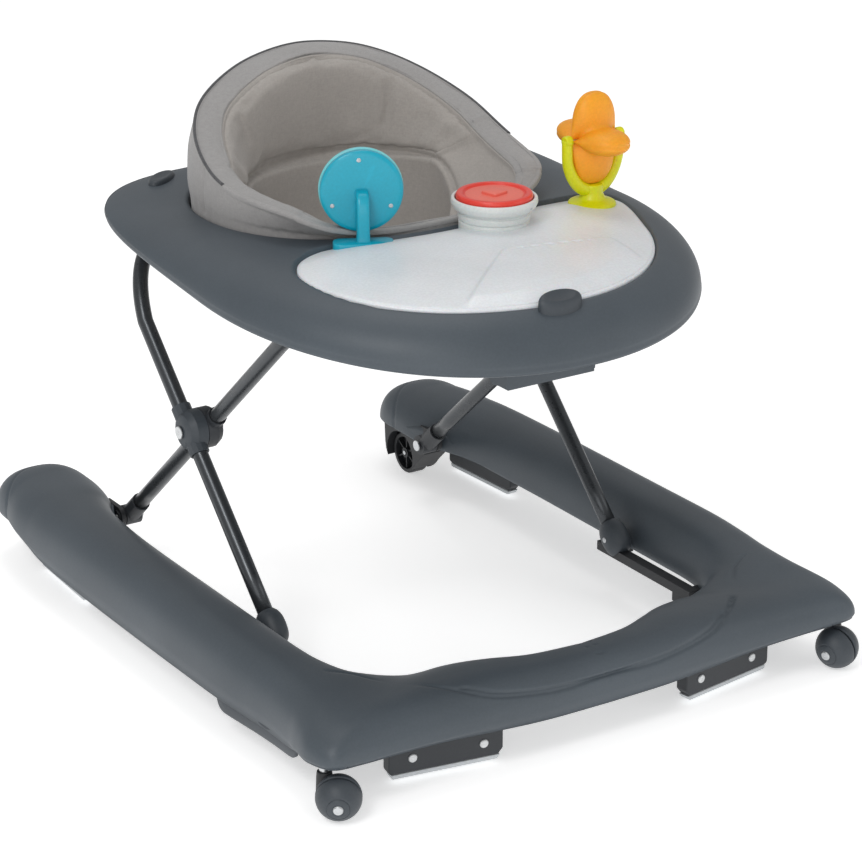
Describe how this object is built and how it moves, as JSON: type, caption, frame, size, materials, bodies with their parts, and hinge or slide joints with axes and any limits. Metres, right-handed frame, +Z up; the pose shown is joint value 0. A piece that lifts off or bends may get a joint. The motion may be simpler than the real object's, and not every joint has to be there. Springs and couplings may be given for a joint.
{
  "type": "baby walker",
  "caption": "Baby walker: U-shaped base on casters, folding scissor frame, height-adjustable ring tray with a padded fabric seat, and a lift-off toy tray.",
  "frame": {"origin": "on the floor, in the middle of the walker's plan", "axes": "+Z up, -Y the way the child faces (the crossbar of the base), +X to the walker's left-hand side seen by the child"},
  "size_m": [0.6255, 0.7594, 0.556],
  "materials": {
    "slate_plastic": "moulded slate-grey plastic, fine satin grain",
    "black_plastic": "moulded charcoal plastic, fine grain",
    "frame_tube": "powder-coated dark grey steel tube, satin",
    "bright_steel": "zinc-plated steel",
    "grip_rubber": "light grey soft rubber, matt",
    "white_plastic": "moulded off-white plastic, soft sheen",
    "seat_fabric": "padded woven polyester, warm grey",
    "seat_fabric_dark": "woven polyester, darker grey",
    "cyan_plastic": "moulded turquoise plastic",
    "mirror_film": "silvered plastic safety mirror",
    "red_plastic": "moulded red plastic",
    "yellow_plastic": "moulded yellow-green plastic",
    "orange_soft": "soft orange moulded plastic, matt"
  },
  "bodies": {
    "base": {"base_shell": "slate_plastic", "slide_rail_right": "black_plastic", "slide_rail_left": "black_plastic", "stop_block_front_right": "black_plastic", "stop_block_front_left": "black_plastic", "stop_block_rear_right": "black_plastic", "stop_block_rear_left": "black_plastic", "stop_rubber_front_right": "grip_rubber", "stop_rubber_front_left": "grip_rubber", "stop_rubber_rear_right": "grip_rubber", "stop_rubber_rear_left": "grip_rubber", "wheel_housing_right": "black_plastic", "wheel_housing_left": "black_plastic", "rear_axle_right": "bright_steel", "rear_axle_left": "bright_steel", "hinge_pin_right": "bright_steel", "hinge_pin_left": "bright_steel"},
    "rear_wheel_right": {"rear_wheel_right": "black_plastic"},
    "rear_wheel_left": {"rear_wheel_left": "black_plastic"},
    "caster_right": {"caster_hood_right": "slate_plastic", "caster_stem_right": "bright_steel", "caster_axle_right": "bright_steel"},
    "caster_left": {"caster_hood_left": "slate_plastic", "caster_stem_left": "bright_steel", "caster_axle_left": "bright_steel"},
    "caster_wheel_right": {"caster_wheel_right": "slate_plastic"},
    "caster_wheel_left": {"caster_wheel_left": "slate_plastic"},
    "legs_a": {"leg_frame_a": "frame_tube", "leg_foot_right": "black_plastic", "leg_foot_left": "black_plastic", "hub_inner_right": "black_plastic", "hub_inner_left": "black_plastic"},
    "legs_b": {"leg_frame_b": "frame_tube", "hub_outer_right": "slate_plastic", "hub_outer_left": "slate_plastic", "hub_pin_right": "bright_steel", "hub_pin_left": "bright_steel", "slider_eye_right": "black_plastic", "slider_eye_left": "black_plastic"},
    "sliders": {"slider_shoe_right": "slate_plastic", "slider_shoe_left": "slate_plastic", "slider_pin_right": "bright_steel", "slider_pin_left": "bright_steel"},
    "tray": {"tray_ring": "slate_plastic", "height_rack": "slate_plastic", "latch_pin": "bright_steel", "tube_saddle_right": "black_plastic", "tube_saddle_left": "black_plastic", "seat_back": "seat_fabric", "seat_pan": "seat_fabric_dark"},
    "latch": {"latch_lever": "black_plastic"},
    "toy_tray": {"toy_tray": "white_plastic", "toy_mirror_stand": "cyan_plastic", "toy_mirror_rim": "cyan_plastic", "toy_mirror_glass": "mirror_film", "button_drum": "white_plastic", "spinner_fork": "yellow_plastic", "spinner_pin": "bright_steel"},
    "button": {"button_cap": "red_plastic"},
    "spinner": {"spinner_star": "orange_soft"}
  },
  "joints": [
    {"name": "fold", "type": "hinge", "parent": "base", "child": "legs_a", "pos_m": [0, 0.23718, 0.064], "axis": [1, 0, 0], "range_deg": [0, 28]},
    {"name": "scissor_hub", "type": "hinge", "parent": "legs_a", "child": "legs_b", "pos_m": [0, 0.06085, 0.22], "axis": [1, 0, 0], "range_deg": [-60, 0]},
    {"name": "tray_level", "type": "hinge", "parent": "legs_b", "child": "tray", "pos_m": [0, 0.21974, 0.38], "axis": [1, 0, 0], "range_deg": [0, 32]},
    {"name": "slider_level", "type": "hinge", "parent": "legs_b", "child": "sliders", "pos_m": [0, -0.09406, 0.064], "axis": [1, 0, 0], "range_deg": [0, 32]},
    {"name": "caster_swivel_right", "type": "hinge", "parent": "base", "child": "caster_right", "pos_m": [0.296, -0.34015, 0], "axis": [0, 0, 1], "continuous": true},
    {"name": "caster_spin_right", "type": "hinge", "parent": "caster_right", "child": "caster_wheel_right", "pos_m": [0.28736, -0.3564, 0.0215], "axis": [-0.947, -0.2895, -0.1392], "continuous": true},
    {"name": "rear_wheel_spin_right", "type": "hinge", "parent": "base", "child": "rear_wheel_right", "pos_m": [0.215, 0.31185, 0.024], "axis": [1, 0, 0], "continuous": true},
    {"name": "caster_swivel_left", "type": "hinge", "parent": "base", "child": "caster_left", "pos_m": [-0.296, -0.34015, 0], "axis": [0, 0, 1], "continuous": true},
    {"name": "caster_spin_left", "type": "hinge", "parent": "caster_left", "child": "caster_wheel_left", "pos_m": [-0.29217, -0.35815, 0.0215], "axis": [-0.5393, -0.8305, -0.1392], "continuous": true},
    {"name": "rear_wheel_spin_left", "type": "hinge", "parent": "base", "child": "rear_wheel_left", "pos_m": [-0.215, 0.31185, 0.024], "axis": [1, 0, 0], "continuous": true},
    {"name": "height_latch", "type": "hinge", "parent": "tray", "child": "latch", "pos_m": [0, -0.21015, 0.353], "axis": [-1, 0, 0], "range_deg": [0, 8], "stiffness_Nm_per_rad": 2, "springref_deg": -8.59},
    {"name": "toy_tray_lift", "type": "slide", "parent": "tray", "child": "toy_tray", "axis": [0, 0, 1], "range_m": [0, 0.05]},
    {"name": "button_press", "type": "slide", "parent": "toy_tray", "child": "button", "axis": [0, 0, -1], "range_m": [0, 0.003], "stiffness_N_per_m": 400, "springref_m": -0.003},
    {"name": "spinner_spin", "type": "hinge", "parent": "toy_tray", "child": "spinner", "pos_m": [0.17, -0.09115, 0.499], "axis": [1, 0, 0], "continuous": true}
  ],
  "couplings": [
    {"joint": "scissor_hub", "follows": "fold", "ratio": -2.1},
    {"joint": "tray_level", "follows": "fold", "ratio": 1.1},
    {"joint": "slider_level", "follows": "fold", "ratio": 1.1}
  ]
}
